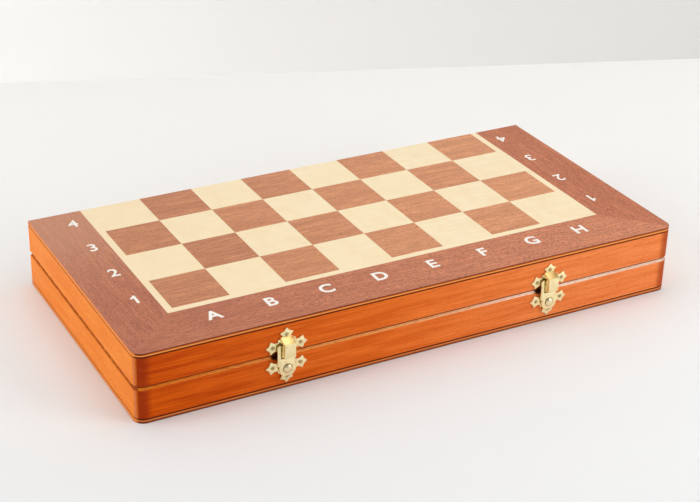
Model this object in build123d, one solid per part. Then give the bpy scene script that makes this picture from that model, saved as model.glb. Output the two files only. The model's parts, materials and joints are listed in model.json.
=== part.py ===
from build123d import *
import math
import os

os.makedirs("parts", exist_ok=True)

# A folding wooden chess set, closed, with its thirty-two men lying inside.
# Two shallow wooden trays are hinged along one long edge. Their flat outsides carry the two
# halves of the board, and two brass hooks on the front hold them shut.
# Millimetres. The origin is the middle of the underside of the closed case. X runs along the
# long edges, Y from the front with the hooks to the fold with the hinges, and Z is up.
# Both halves are one part: the upper one is the lower one turned over about the Y direction.

# The board
SQUARE = 40.0
FILES = 8
HALF_RANKS = 4
STRINGING_WIDTH = 5.0
SIDE_BORDER_WIDTH = 38.0
FRONT_BORDER_WIDTH = 39.5
FOLD_TRIM = 1.5
VENEER_THICKNESS = 0.6
CORE_THICKNESS = 2.4

# The case
HALF_HEIGHT = 25.0
RAIL_THICKNESS = 10.0
SEAM_GAP = 0.3
CORNER_RADIUS = 7.0
RIM_CHAMFER = 1.6
JOINT_CHAMFER = 0.3

# The two butt hinges, let into the rims at the fold
HINGE_SPREAD = 240.0
HINGE_LENGTH = 30.0
HINGE_SETBACK = 0.2
LEAF_WIDTH = 8.0
LEAF_THICKNESS = 1.0
KNUCKLE_RADIUS = 2.4
PIN_RADIUS = 1.1
PIN_CLEARANCE = 0.05
KNUCKLES = 3
KNUCKLE_GAP = 0.2
SCALLOP_CLEARANCE = 0.4
SCREW_SPREAD = 19.0
SCREW_HEAD_RADIUS = 1.6
SCREW_SHANK_RADIUS = 0.8
SCREW_LENGTH = 8.0

# The two hook clasps, stamped in brass sheet and nailed on a little to the left and below the
# seam. Heights are measured from the middle of the clasp.
CLASP_SPREAD = 200.0
CLASP_SHIFT = -1.2
CLASP_DROP = 0.6
SHEET = 0.8
SIDE_NAIL_OFFSET = 9.8
SIDE_NAIL_HEIGHT = 7.4
END_NAIL_HEIGHT = 15.3
STAR_TIP_RADIUS = 4.9
STAR_WAIST_RADIUS = 3.2
STAR_TIPS = 5
PLATE_BODY_WIDTH = 12.4
PLATE_BODY_TOP = 12.5
PLATE_FROM_MIDDLE = 0.8
PLATE_CORNER = 1.2

# The bridge of the upper plate, a hood with a sloping top and a window on its left side
BRIDGE_DEPTH = 5.5
BRIDGE_FOOT_WIDTH = 9.2
BRIDGE_FRONT_WIDTH = 7.8
BRIDGE_BOTTOM = 0.6
BRIDGE_FRONT_TOP = 10.8
BRIDGE_FOOT_TOP = 13.9
WINDOW_BOTTOM = 5.6
WINDOW_TOP = 10.0
WINDOW_DEPTH = 2.9

# The hook, which turns on a domed rivet in the lower plate
PIVOT_HEIGHT = -8.8
HOOK_THICKNESS = 1.2
HOOK_LIFT = 0.6
HOOK_END_RADIUS = 6.0
HOOK_BAR_OUTSIDE = 7.2
HOOK_BAR_WIDTH = 2.4
HOOK_TOP = 8.8
HOOK_FINGER_HEIGHT = 2.2
HOOK_FINGER_END = 1.6
HOOK_SHOULDER_TOP = -1.2
HOOK_SHOULDER_RIGHT = 4.5
HOOK_SHOULDER_BOTTOM = -6.5
HOOK_CORNER = 1.6
RIVET_SHANK_RADIUS = 1.5
RIVET_CLEARANCE = 0.05
RIVET_COLLAR_RADIUS = 2.8
RIVET_HEAD_RADIUS = 3.0
RIVET_HEAD_HEIGHT = 1.3
RIVET_FLATS = 12
DOME_STEPS = 4
FACE_CLEARANCE = 0.1

# The small round nails of the clasps
NAIL_HEAD_RADIUS = 1.1
NAIL_HEAD_HEIGHT = 0.4
NAIL_SHANK_RADIUS = 0.6
NAIL_LENGTH = 8.0
NAIL_CLEARANCE = 0.05
FASTENER_FLATS = 8

# The linings inside: felt in the upper half, and foam blocks with a pocket for each man below
FELT_THICKNESS = 1.0
LINING_CLEARANCE = 0.3
TRAY_HEIGHT = 19.4
TRAY_FLOOR = 3.0
POCKET_CLEARANCE = 0.8
TRAY_EDGE = 3.5
MAN_CLEARANCE = 0.2

# The men: height and base diameter of each kind
KING_HEIGHT = 76.0
KING_BASE = 29.0
QUEEN_HEIGHT = 69.0
QUEEN_BASE = 28.0
BISHOP_HEIGHT = 60.0
BISHOP_BASE = 26.0
KNIGHT_HEIGHT = 52.0
KNIGHT_BASE = 26.0
ROOK_HEIGHT = 45.0
ROOK_BASE = 26.0
PAWN_HEIGHT = 40.0
PAWN_BASE = 23.0
TURNING_FLATS = 8
CROSS_THICKNESS = 3.2
CROSS_WIDTH = 7.0
MITRE_CUT = 1.2
MITRE_CUT_HEIGHT = 50.0
MITRE_CUT_ANGLE = 35.0
ROOK_WELL = 5.0
ROOK_WALL = 2.6
BATTLEMENT_GAP = 3.0
KNIGHT_HEAD_THICKNESS = 9.0

# Worked out from the sizes above
LENGTH = FILES * SQUARE + 2 * (STRINGING_WIDTH + SIDE_BORDER_WIDTH)
WIDTH = HALF_RANKS * SQUARE - FOLD_TRIM + STRINGING_WIDTH + FRONT_BORDER_WIDTH
LEFT = -LENGTH / 2
RIGHT = LENGTH / 2
FRONT = -WIDTH / 2
FOLD = WIDTH / 2
PANEL_TOP = VENEER_THICKNESS + CORE_THICKNESS
RIM = HALF_HEIGHT - SEAM_GAP / 2
AXIS_Y = FOLD + HINGE_SETBACK
CENTRE_AXIS = Axis((0, 0, HALF_HEIGHT), (0, 1, 0))


def block(low, high):
    """A box between two corners."""
    size = [b - a for a, b in zip(low, high)]
    middle = [(a + b) / 2 for a, b in zip(low, high)]
    return Pos(*middle) * Box(*size)


def slab(sketch, low, high):
    """A flat sketch given its thickness between two heights."""
    return extrude(Pos(0, 0, low) * sketch, amount=high - low)


def turned_over(shape):
    """A part of the lower half in its place in the upper half."""
    return shape.rotate(CENTRE_AXIS, 180)


def save(name, shape):
    """Write one sub-part; a list is a group of like pieces."""
    pieces = shape if isinstance(shape, list) else [shape]
    solids = [solid for piece in pieces for solid in piece.solids()]
    whole = solids[0] if len(solids) == 1 else Compound(children=solids)
    export_step(whole, f"parts/{name}.step")


def half_outline():
    """The outline of a half: the two front corners are rounded and the fold corners square."""
    sheet = Rectangle(LENGTH, WIDTH)
    return fillet(sheet.vertices().group_by(Axis.Y)[0], CORNER_RADIUS)


def mitred_strips(outer, inner):
    """Plans of the strips between two rectangles, mitred where they meet. A rectangle is given
    by how far in it lies at the sides, the front and the fold. Where both lie equally far in at
    the fold, there is no strip along it."""
    corners = [[(LEFT + side, FRONT + front), (RIGHT - side, FRONT + front),
                (RIGHT - side, FOLD - fold), (LEFT + side, FOLD - fold)]
               for side, front, fold in (outer, inner)]
    plans = {}
    for here, side in enumerate(("front", "right", "fold", "left")):
        after = (here + 1) % len(corners[0])
        if side != "fold" or outer[-1] != inner[-1]:
            plans[side] = make_face(Polyline(corners[0][here], corners[0][after],
                                             corners[1][after], corners[1][here], close=True))
    return plans


def core_panel():
    """The board under the veneers, with its edge eased where it meets the rails."""
    panel = slab(half_outline(), VENEER_THICKNESS, PANEL_TOP)
    return chamfer(panel.faces().sort_by(Axis.Z)[-1].outer_wire().edges(), JOINT_CHAMFER)


def border_veneers():
    """The dark border, three strips with mitred corners."""
    sheet = slab(half_outline(), 0, VENEER_THICKNESS)
    plans = mitred_strips((0, 0, 0), (SIDE_BORDER_WIDTH, FRONT_BORDER_WIDTH, 0))
    return {side: sheet & slab(plan, 0, VENEER_THICKNESS) for side, plan in plans.items()}


def stringing():
    """The light line between border and squares, three strips with mitred corners."""
    plans = mitred_strips(
        (SIDE_BORDER_WIDTH, FRONT_BORDER_WIDTH, 0),
        (SIDE_BORDER_WIDTH + STRINGING_WIDTH, FRONT_BORDER_WIDTH + STRINGING_WIDTH, 0))
    return [slab(plan, 0, VENEER_THICKNESS) for plan in plans.values()]


def squares(dark):
    """The squares of one colour on the lower half, as they lie face down. The saw that parted
    the halves has trimmed the row at the fold."""
    left = LEFT + SIDE_BORDER_WIDTH + STRINGING_WIDTH
    front = FRONT + FRONT_BORDER_WIDTH + STRINGING_WIDTH
    placed = []
    for column in range(FILES):
        for row in range(HALF_RANKS):
            if ((column + row) % 2 == 1) == dark:
                x = left + column * SQUARE
                y = front + row * SQUARE
                placed.append(block((x, y, 0),
                                    (x + SQUARE, min(y + SQUARE, FOLD), VENEER_THICKNESS)))
    return placed


def hinge_centres():
    return [-HINGE_SPREAD / 2, HINGE_SPREAD / 2]


def along_fold(x, radius, length):
    """A cylinder on the hinge axis, centred at x."""
    return Pos(x, AXIS_Y, HALF_HEIGHT) * Rot(0, 90, 0) * Cylinder(radius, length)


def rails():
    """The four rails of a half, mitred at the corners. The rim is chamfered outside, and the
    fold rail is let in for the hinge leaves and scalloped for their knuckles."""
    inside = Rectangle(LENGTH - 2 * RAIL_THICKNESS, WIDTH - 2 * RAIL_THICKNESS)
    ring = slab(half_outline() - inside, PANEL_TOP, RIM)
    ring = chamfer(ring.faces().sort_by(Axis.Z)[-1].outer_wire().edges(), RIM_CHAMFER)
    ring = chamfer(ring.faces().sort_by(Axis.Z)[0].outer_wire().edges(), JOINT_CHAMFER)
    for x in hinge_centres():
        ring -= block((x - HINGE_LENGTH / 2, FOLD - LEAF_WIDTH, RIM - LEAF_THICKNESS),
                      (x + HINGE_LENGTH / 2, FOLD + KNUCKLE_RADIUS, HALF_HEIGHT))
        ring -= along_fold(x, KNUCKLE_RADIUS + SCALLOP_CLEARANCE, HINGE_LENGTH)
    plans = mitred_strips((0, 0, 0), (RAIL_THICKNESS, RAIL_THICKNESS, RAIL_THICKNESS))
    return {side: ring & slab(plan, PANEL_TOP, RIM) for side, plan in plans.items()}


def screw_places(x):
    """The two screws of a leaf, at the top of their heads."""
    y = FOLD - LEAF_WIDTH / 2
    return [(x - SCREW_SPREAD / 2, y, RIM), (x + SCREW_SPREAD / 2, y, RIM)]


def skin(rings):
    """A closed solid through rings of points, all with as many points, joined by flat sides."""
    ends = [Face(Wire.make_polygon(rings[0])), Face(Wire.make_polygon(rings[-1]))]
    sides = []
    for low, high in zip(rings, rings[1:]):
        for here in range(len(low)):
            after = (here + 1) % len(low)
            sides.append(Face(Wire.make_polygon([low[here], low[after], high[after], high[here]])))
    return Solid(Shell(ends + sides))


def flat_sided(profile, flats):
    """A turned shape with flat sides, from (radius, height) pairs going up its outline. The
    radius reaches to the middle of a flat, and one flat faces each way along X and Y."""
    reach = 1 / math.cos(math.pi / flats)
    turns = [(corner + 0.5) * 2 * math.pi / flats for corner in range(flats)]
    return skin([[Vector(radius * reach * math.cos(turn), radius * reach * math.sin(turn), height)
                  for turn in turns] for radius, height in profile])


def inside_circle(radius, flats):
    """The radius to give to flat_sided so that the corners lie on a circle."""
    return radius * math.cos(math.pi / flats)


def screw():
    """A countersunk wood screw, with its head up."""
    head = inside_circle(SCREW_HEAD_RADIUS, FASTENER_FLATS)
    shank = inside_circle(SCREW_SHANK_RADIUS, FASTENER_FLATS)
    return flat_sided([(shank / 2, -SCREW_LENGTH), (shank, SCREW_SHANK_RADIUS - SCREW_LENGTH),
                       (shank, SCREW_SHANK_RADIUS - SCREW_HEAD_RADIUS), (head, 0)],
                      FASTENER_FLATS)


def leaf(x, knuckles):
    """A hinge leaf in the lower rim. The knuckles share the length, and this leaf carries
    those in the list, counted from 0 at the left."""
    share = HINGE_LENGTH / KNUCKLES
    plate = block((x - HINGE_LENGTH / 2, FOLD - LEAF_WIDTH, RIM - LEAF_THICKNESS),
                  (x + HINGE_LENGTH / 2, AXIS_Y, RIM))
    for place in range(KNUCKLES):
        centre = x + (place + 0.5) * share - HINGE_LENGTH / 2
        if place in knuckles:
            plate += along_fold(centre, KNUCKLE_RADIUS, share - KNUCKLE_GAP)
        else:
            plate -= Pos(centre, AXIS_Y, RIM) * Box(
                share + KNUCKLE_GAP, 2 * (KNUCKLE_RADIUS + KNUCKLE_GAP), 2 * KNUCKLE_RADIUS)
    plate -= along_fold(x, PIN_RADIUS + PIN_CLEARANCE, HINGE_LENGTH)
    return plate - [Pos(*spot) * screw() for spot in screw_places(x)]


def screws():
    return [Pos(*spot) * screw() for x in hinge_centres() for spot in screw_places(x)]


def clasp_centres():
    return {"left": CLASP_SHIFT - CLASP_SPREAD / 2, "right": CLASP_SHIFT + CLASP_SPREAD / 2}


def on_front(x):
    """The plane of a clasp with its middle at x: across to the right, up, and out of the
    front face."""
    return Plane(origin=(x, FRONT, HALF_HEIGHT - CLASP_DROP), x_dir=(1, 0, 0),
                 z_dir=(0, -1, 0))


def nail_places(up):
    """The three nails of a plate and the way in which the star round each points."""
    return [(-SIDE_NAIL_OFFSET, up * SIDE_NAIL_HEIGHT, 180),
            (SIDE_NAIL_OFFSET, up * SIDE_NAIL_HEIGHT, 0),
            (0, up * END_NAIL_HEIGHT, up * 90)]


def star(direction):
    """A blunt star with one tip in the given direction."""
    corners = []
    for corner in range(2 * STAR_TIPS):
        radius = STAR_WAIST_RADIUS if corner % 2 else STAR_TIP_RADIUS
        angle = math.radians(direction) + corner * math.pi / STAR_TIPS
        corners.append((radius * math.cos(angle), radius * math.sin(angle)))
    return make_face(Polyline(*corners, close=True))


def plate_sheet(up):
    """The flat part of a clasp plate: a body and three stars, each pierced for a nail."""
    body_height = PLATE_BODY_TOP - PLATE_FROM_MIDDLE
    middle = up * (PLATE_BODY_TOP + PLATE_FROM_MIDDLE) / 2
    sketch = Pos(0, middle) * RectangleRounded(PLATE_BODY_WIDTH, body_height, PLATE_CORNER)
    for x, y, direction in nail_places(up):
        sketch += Pos(x, y) * star(direction)
    for x, y, direction in nail_places(up):
        sketch -= Pos(x, y) * RegularPolygon(NAIL_SHANK_RADIUS + NAIL_CLEARANCE, FASTENER_FLATS,
                                             rotation=180 / FASTENER_FLATS)
    return slab(sketch, 0, SHEET)


def hood(wall, foot, front):
    """The bridge as a solid between its foot on the plate and its front. The wall is what is
    taken off all round, and the bottom of a hollow is left open."""
    bottom = BRIDGE_BOTTOM - wall
    rings = []
    for width, top, depth in ((BRIDGE_FOOT_WIDTH, BRIDGE_FOOT_TOP, foot),
                              (BRIDGE_FRONT_WIDTH, BRIDGE_FRONT_TOP, front)):
        side = width / 2 - wall
        rings.append([Vector(-side, bottom, depth), Vector(side, bottom, depth),
                      Vector(side, top - wall, depth), Vector(-side, top - wall, depth)])
    return skin(rings)


def keeper_plate():
    """The upper plate with its hollow bridge, open below, and the window for the finger."""
    front = SHEET + BRIDGE_DEPTH
    bridge = hood(0, SHEET, front) - hood(SHEET, SHEET, front - SHEET)
    bridge -= block((-BRIDGE_FOOT_WIDTH, WINDOW_BOTTOM, SHEET),
                    (0, WINDOW_TOP, SHEET + WINDOW_DEPTH))
    return plate_sheet(1) + bridge


def base_plate():
    """The lower plate, pierced for the rivet."""
    hole = RegularPolygon(RIVET_SHANK_RADIUS + RIVET_CLEARANCE, RIVET_FLATS,
                          rotation=180 / RIVET_FLATS)
    return plate_sheet(-1) - slab(Pos(0, PIVOT_HEIGHT) * hole, 0, SHEET)


def hook():
    """The hook: a round end on the rivet, a bar up the left side of the bridge, and a finger
    that reaches in through the window."""
    bar_left = -HOOK_BAR_OUTSIDE
    bar_right = bar_left + HOOK_BAR_WIDTH
    outline = [(bar_left, HOOK_SHOULDER_BOTTOM), (HOOK_SHOULDER_RIGHT, HOOK_SHOULDER_BOTTOM),
               (HOOK_SHOULDER_RIGHT, HOOK_SHOULDER_TOP), (bar_right, HOOK_SHOULDER_TOP),
               (bar_right, HOOK_TOP - HOOK_FINGER_HEIGHT),
               (-HOOK_FINGER_END, HOOK_TOP - HOOK_FINGER_HEIGHT),
               (-HOOK_FINGER_END, HOOK_TOP), (bar_left, HOOK_TOP)]
    sketch = make_face(Polyline(*outline, close=True))
    sketch = fillet(sketch.vertices().sort_by(Axis.X)[:2].sort_by(Axis.Y)[-1:], HOOK_CORNER)
    sketch += Pos(0, PIVOT_HEIGHT) * Circle(HOOK_END_RADIUS)
    sketch -= Pos(0, PIVOT_HEIGHT) * Circle(RIVET_SHANK_RADIUS + RIVET_CLEARANCE)
    return slab(sketch, SHEET + HOOK_LIFT, SHEET + HOOK_LIFT + HOOK_THICKNESS)


def rivet():
    """The domed rivet, with the collar that lifts the hook over the nail heads."""
    shank = inside_circle(RIVET_SHANK_RADIUS, RIVET_FLATS)
    under = SHEET + HOOK_LIFT
    face = under + HOOK_THICKNESS + FACE_CLEARANCE
    turns = [step * math.pi / 2 / DOME_STEPS for step in range(DOME_STEPS)]
    dome = [(RIVET_HEAD_RADIUS * math.cos(turn), face + RIVET_HEAD_HEIGHT * math.sin(turn))
            for turn in turns]
    return Pos(0, PIVOT_HEIGHT) * flat_sided(
        [(shank, 0), (shank, SHEET), (RIVET_COLLAR_RADIUS, SHEET),
         (RIVET_COLLAR_RADIUS, under - FACE_CLEARANCE), (shank, under - FACE_CLEARANCE),
         (shank, face), *dome], RIVET_FLATS)


def nail():
    """A small nail with a low round head, pointing back into the rail."""
    shank = inside_circle(NAIL_SHANK_RADIUS, FASTENER_FLATS)
    tip = SHEET - NAIL_LENGTH
    return flat_sided([(shank / 2, tip), (shank, tip + NAIL_SHANK_RADIUS), (shank, SHEET),
                       (NAIL_HEAD_RADIUS, SHEET),
                       (NAIL_HEAD_RADIUS / 2, SHEET + NAIL_HEAD_HEIGHT)], FASTENER_FLATS)


def nails(up):
    return [on_front(x) * Pos(spot[0], spot[1]) * nail()
            for x in clasp_centres().values() for spot in nail_places(up)]


# Outlines of the turned men, going up: radius as a share of the base's, height as a share of
# the man's. Those of the king and the knight stop where the cross or the carved head begins.
PAWN_OUTLINE = [(1, 0), (1, 0.11), (0.56, 0.24), (0.34, 0.58), (0.60, 0.64), (0.40, 0.68),
                (0.60, 0.80), (0.46, 0.95), (0.18, 1)]
ROOK_OUTLINE = [(1, 0), (1, 0.12), (0.62, 0.25), (0.46, 0.64), (0.70, 0.74), (0.70, 1)]
KNIGHT_OUTLINE = [(1, 0), (1, 0.10), (0.72, 0.20), (0.80, 0.25), (0.62, 0.28)]
BISHOP_OUTLINE = [(1, 0), (1, 0.09), (0.56, 0.20), (0.30, 0.58), (0.60, 0.63), (0.34, 0.67),
                  (0.56, 0.78), (0.44, 0.88), (0.12, 0.96), (0.16, 1)]
QUEEN_OUTLINE = [(1, 0), (1, 0.08), (0.58, 0.19), (0.30, 0.62), (0.62, 0.67), (0.38, 0.71),
                 (0.64, 0.92), (0.40, 0.94), (0.10, 0.97), (0.14, 1)]
KING_OUTLINE = [(1, 0), (1, 0.08), (0.58, 0.17), (0.32, 0.57), (0.64, 0.62), (0.40, 0.65),
                (0.62, 0.84), (0.16, 0.89)]

# The carved head of a knight seen from the side, muzzle to the right: forwards as a share of
# the base's radius, height as a share of the man's
KNIGHT_HEAD = [(-0.55, 0.27), (0.50, 0.27), (0.34, 0.48), (0.40, 0.58), (0.85, 0.55),
               (0.95, 0.68), (0.35, 0.90), (0.12, 1.0), (-0.10, 0.92), (-0.70, 0.72),
               (-0.82, 0.45)]


def real_outline(outline, height, base):
    return [(share * base / 2, rise * height) for share, rise in outline]


def rook(outline):
    """A tower with a round well and battlements."""
    body = flat_sided(outline, TURNING_FLATS)
    wall = outline[-1][0]
    body -= Pos(0, 0, ROOK_HEIGHT - ROOK_WELL) * flat_sided(
        [(wall - ROOK_WALL, 0), (wall - ROOK_WALL, 2 * ROOK_WELL)], TURNING_FLATS)
    for turn in (0, 90):
        body -= Pos(0, 0, ROOK_HEIGHT) * Rot(0, 0, turn) * Box(
            ROOK_BASE, BATTLEMENT_GAP, 2 * ROOK_WELL)
    return body


def knight(outline):
    """A turned base with a flat carved head."""
    head = make_face(Polyline(*[(x * KNIGHT_BASE / 2, h * KNIGHT_HEIGHT) for x, h in KNIGHT_HEAD],
                              close=True))
    carved = extrude(Plane.XZ * head, amount=KNIGHT_HEAD_THICKNESS / 2, both=True)
    return flat_sided(outline, TURNING_FLATS) + carved


def bishop(outline):
    """A turned body with the slanting cut of the mitre."""
    radius = BISHOP_BASE / 2
    cut = Pos(radius / 2, 0, MITRE_CUT_HEIGHT) * Rot(0, -MITRE_CUT_ANGLE, 0) * Box(
        radius, BISHOP_BASE, MITRE_CUT)
    return flat_sided(outline, TURNING_FLATS) - cut


def king(outline):
    """A turned body with a cross standing on it."""
    foot = outline[-1][1]
    arm_height = (foot + KING_HEIGHT) / 2
    half = CROSS_THICKNESS / 2
    upright = block((-half, -half, foot - half), (half, half, KING_HEIGHT))
    arms = block((-CROSS_WIDTH / 2, -half, arm_height - half),
                 (CROSS_WIDTH / 2, half, arm_height + half))
    return flat_sided(outline, TURNING_FLATS) + upright + arms


def tilt(points):
    """How far a man lying on its base's rim tips before its head touches too."""
    rim = points[0][0]
    return min(math.degrees(math.atan2(rim - radius, height))
               for radius, height in points if radius < rim)


def lying_men():
    """One man of each kind, lying with its head to the front."""
    sizes = {"king": (KING_OUTLINE, KING_HEIGHT, KING_BASE),
             "queen": (QUEEN_OUTLINE, QUEEN_HEIGHT, QUEEN_BASE),
             "bishop": (BISHOP_OUTLINE, BISHOP_HEIGHT, BISHOP_BASE),
             "knight": (KNIGHT_OUTLINE, KNIGHT_HEIGHT, KNIGHT_BASE),
             "rook": (ROOK_OUTLINE, ROOK_HEIGHT, ROOK_BASE),
             "pawn": (PAWN_OUTLINE, PAWN_HEIGHT, PAWN_BASE)}
    outlines = {kind: real_outline(*size) for kind, size in sizes.items()}
    touching = dict(outlines)
    touching["knight"] = outlines["knight"] + [(KNIGHT_HEAD_THICKNESS / 2, KNIGHT_HEIGHT)]
    standing = {"king": king(outlines["king"]),
                "queen": flat_sided(outlines["queen"], TURNING_FLATS),
                "bishop": bishop(outlines["bishop"]),
                "knight": knight(outlines["knight"]),
                "rook": rook(outlines["rook"]),
                "pawn": flat_sided(outlines["pawn"], TURNING_FLATS)}
    return {kind: man.rotate(Axis.X, 90 + tilt(touching[kind])) for kind, man in standing.items()}


# How the men lie: three rows from the fold to the front, with room to spare in the last
ROWS = [
    [("white", "king"), ("white", "queen"), ("white", "bishop"), ("white", "bishop"),
     ("white", "knight"), ("white", "knight"), ("black", "knight"), ("black", "knight"),
     ("black", "bishop"), ("black", "bishop"), ("black", "queen"), ("black", "king")],
    [("white", "rook"), ("white", "rook")] + 4 * [("white", "pawn")]
    + 4 * [("black", "pawn")] + [("black", "rook"), ("black", "rook")],
    4 * [("white", "pawn")] + 4 * [None] + 4 * [("black", "pawn")],
]


def tray_places(sizes):
    """Every place in the tray: what lies there, its middle in X, its end nearest the fold, and
    the pitch and depth of its row."""
    depths = [max(sizes[place[1]].size.Y for place in row if place) for row in ROWS]
    inside_length = LENGTH - 2 * RAIL_THICKNESS
    inside_width = WIDTH - 2 * (RAIL_THICKNESS + TRAY_EDGE)
    gap = (inside_width - sum(depths)) / (len(ROWS) - 1)
    base_line = FOLD - RAIL_THICKNESS - TRAY_EDGE
    for row, depth in zip(ROWS, depths):
        pitch = inside_length / len(row)
        for column, place in enumerate(row):
            yield place, (column + 0.5) * pitch - inside_length / 2, base_line, pitch, gap
        base_line -= depth + gap


def packed_men(men):
    """Every man in its place in the tray, as a list for each colour and kind."""
    sizes = {kind: man.bounding_box() for kind, man in men.items()}
    floor = PANEL_TOP + TRAY_FLOOR + MAN_CLEARANCE
    placed = {}
    for place, x, base_line, pitch, gap in tray_places(sizes):
        if place:
            box = sizes[place[1]]
            spot = Pos(x - box.center().X, base_line - box.max.Y, floor - box.min.Z)
            placed.setdefault(place, []).append(spot * men[place[1]])
    return placed


def foam_blocks(men):
    """The foam blocks before their pockets are cut: one for the two rows nearest the fold, and
    one for each end of the front row, which leaves an open bay for other things between them."""
    sizes = {kind: man.bounding_box() for kind, man in men.items()}
    empty = [spot for spot in tray_places(sizes) if spot[0] is None]
    first_x, base_line, pitch, gap = empty[0][1:]
    bay_left, bay_right = first_x - pitch / 2, empty[-1][1] + pitch / 2
    divide = base_line + gap / 2
    right = RIGHT - RAIL_THICKNESS - LINING_CLEARANCE
    fold = FOLD - RAIL_THICKNESS - LINING_CLEARANCE
    low, high = PANEL_TOP, PANEL_TOP + TRAY_HEIGHT
    return [block((-right, divide + LINING_CLEARANCE / 2, low), (right, fold, high)),
            block((-right, -fold, low), (bay_left, divide - LINING_CLEARANCE / 2, high)),
            block((bay_right, -fold, low), (right, divide - LINING_CLEARANCE / 2, high))]


def storage_tray(men, placed):
    """The foam blocks, with a pocket round the box that each man fills."""
    floor = PANEL_TOP + TRAY_FLOOR
    above = PANEL_TOP + 2 * TRAY_HEIGHT
    pockets = []
    for group in placed.values():
        for man in group:
            box = man.bounding_box()
            pockets.append(block(
                (box.min.X - POCKET_CLEARANCE, box.min.Y - POCKET_CLEARANCE, floor),
                (box.max.X + POCKET_CLEARANCE, box.max.Y + POCKET_CLEARANCE, above)))
    return [foam - pockets for foam in foam_blocks(men)]


def felt_lining():
    """A sheet of felt glued to the inside of a board."""
    inside = Rectangle(LENGTH - 2 * RAIL_THICKNESS - 2 * LINING_CLEARANCE,
                       WIDTH - 2 * RAIL_THICKNESS - 2 * LINING_CLEARANCE)
    return slab(inside, PANEL_TOP, PANEL_TOP + FELT_THICKNESS)


# Both halves: panel, rails and inlaid veneers
TURNED_SIDE = {"front": "front", "fold": "fold", "left": "right", "right": "left"}

save("lower_core_panel", core_panel())
save("upper_core_panel", turned_over(core_panel()))
for side, rail in rails().items():
    save(f"lower_{side}_rail", rail)
    save(f"upper_{TURNED_SIDE[side]}_rail", turned_over(rail))
for side, border in border_veneers().items():
    save(f"lower_{side}_border", border)
    save(f"upper_{TURNED_SIDE[side]}_border", turned_over(border))
inlays = {"stringing": stringing(), "light_squares": squares(False), "dark_squares": squares(True)}
for name, pieces in inlays.items():
    save(f"lower_{name}", pieces)
    save(f"upper_{name}", [turned_over(piece) for piece in pieces])

# Hinges
save("lower_hinge_leaves", [leaf(x, range(0, KNUCKLES, 2)) for x in hinge_centres()])
save("upper_hinge_leaves", [turned_over(leaf(x, range(1, KNUCKLES, 2)))
                            for x in hinge_centres()])
save("hinge_pins", [along_fold(x, PIN_RADIUS, HINGE_LENGTH - KNUCKLE_GAP)
                    for x in hinge_centres()])
save("lower_hinge_screws", screws())
save("upper_hinge_screws", [turned_over(piece) for piece in screws()])

# Clasps
for name, x in clasp_centres().items():
    save(f"{name}_keeper_plate", on_front(x) * keeper_plate())
    save(f"{name}_base_plate", on_front(x) * base_plate())
    save(f"{name}_hook", on_front(x) * hook())
save("hook_rivets", [on_front(x) * rivet() for x in clasp_centres().values()])
save("upper_clasp_nails", nails(1))
save("lower_clasp_nails", nails(-1))

# Linings and men
set_of_men = lying_men()
contents = packed_men(set_of_men)
save("upper_felt_lining", turned_over(felt_lining()))
save("storage_tray", storage_tray(set_of_men, contents))
for (colour, kind), group in contents.items():
    save(f"{colour}_{kind}s" if len(group) > 1 else f"{colour}_{kind}", group)
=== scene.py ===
# A folding wooden chess set, closed, with its men lying inside.
# Metres, in the frame of the CAD model: X runs along the long edges, Y from the clasps to the
# hinged fold, and Z is up from the table.
import json
import math

import bpy
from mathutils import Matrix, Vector

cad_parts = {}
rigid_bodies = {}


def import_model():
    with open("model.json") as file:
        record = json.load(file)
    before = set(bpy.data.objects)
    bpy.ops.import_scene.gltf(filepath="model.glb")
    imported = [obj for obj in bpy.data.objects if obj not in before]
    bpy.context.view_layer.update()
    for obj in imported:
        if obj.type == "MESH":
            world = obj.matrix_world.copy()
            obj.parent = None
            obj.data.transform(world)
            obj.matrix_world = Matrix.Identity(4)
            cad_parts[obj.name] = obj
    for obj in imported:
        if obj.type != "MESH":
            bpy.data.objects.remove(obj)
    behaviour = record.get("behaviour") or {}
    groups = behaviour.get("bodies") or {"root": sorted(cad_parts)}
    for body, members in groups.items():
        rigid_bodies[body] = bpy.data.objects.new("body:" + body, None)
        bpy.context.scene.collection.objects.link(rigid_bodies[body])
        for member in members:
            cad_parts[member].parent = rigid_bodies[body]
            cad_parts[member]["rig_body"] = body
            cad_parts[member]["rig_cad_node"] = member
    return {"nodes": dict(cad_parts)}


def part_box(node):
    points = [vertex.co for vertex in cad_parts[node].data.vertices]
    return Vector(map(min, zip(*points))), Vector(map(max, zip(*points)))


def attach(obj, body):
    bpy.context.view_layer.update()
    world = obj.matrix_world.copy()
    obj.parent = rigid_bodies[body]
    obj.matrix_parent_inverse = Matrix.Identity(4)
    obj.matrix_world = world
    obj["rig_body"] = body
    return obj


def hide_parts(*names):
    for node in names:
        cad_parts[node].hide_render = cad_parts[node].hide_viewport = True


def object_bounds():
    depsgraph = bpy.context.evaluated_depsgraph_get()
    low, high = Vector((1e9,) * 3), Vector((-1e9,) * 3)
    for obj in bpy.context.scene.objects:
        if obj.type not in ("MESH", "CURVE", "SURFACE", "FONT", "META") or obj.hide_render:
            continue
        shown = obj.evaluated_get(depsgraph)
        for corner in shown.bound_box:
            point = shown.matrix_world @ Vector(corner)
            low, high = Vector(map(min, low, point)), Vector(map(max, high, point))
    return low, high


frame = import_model()
cad_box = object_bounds()


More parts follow.
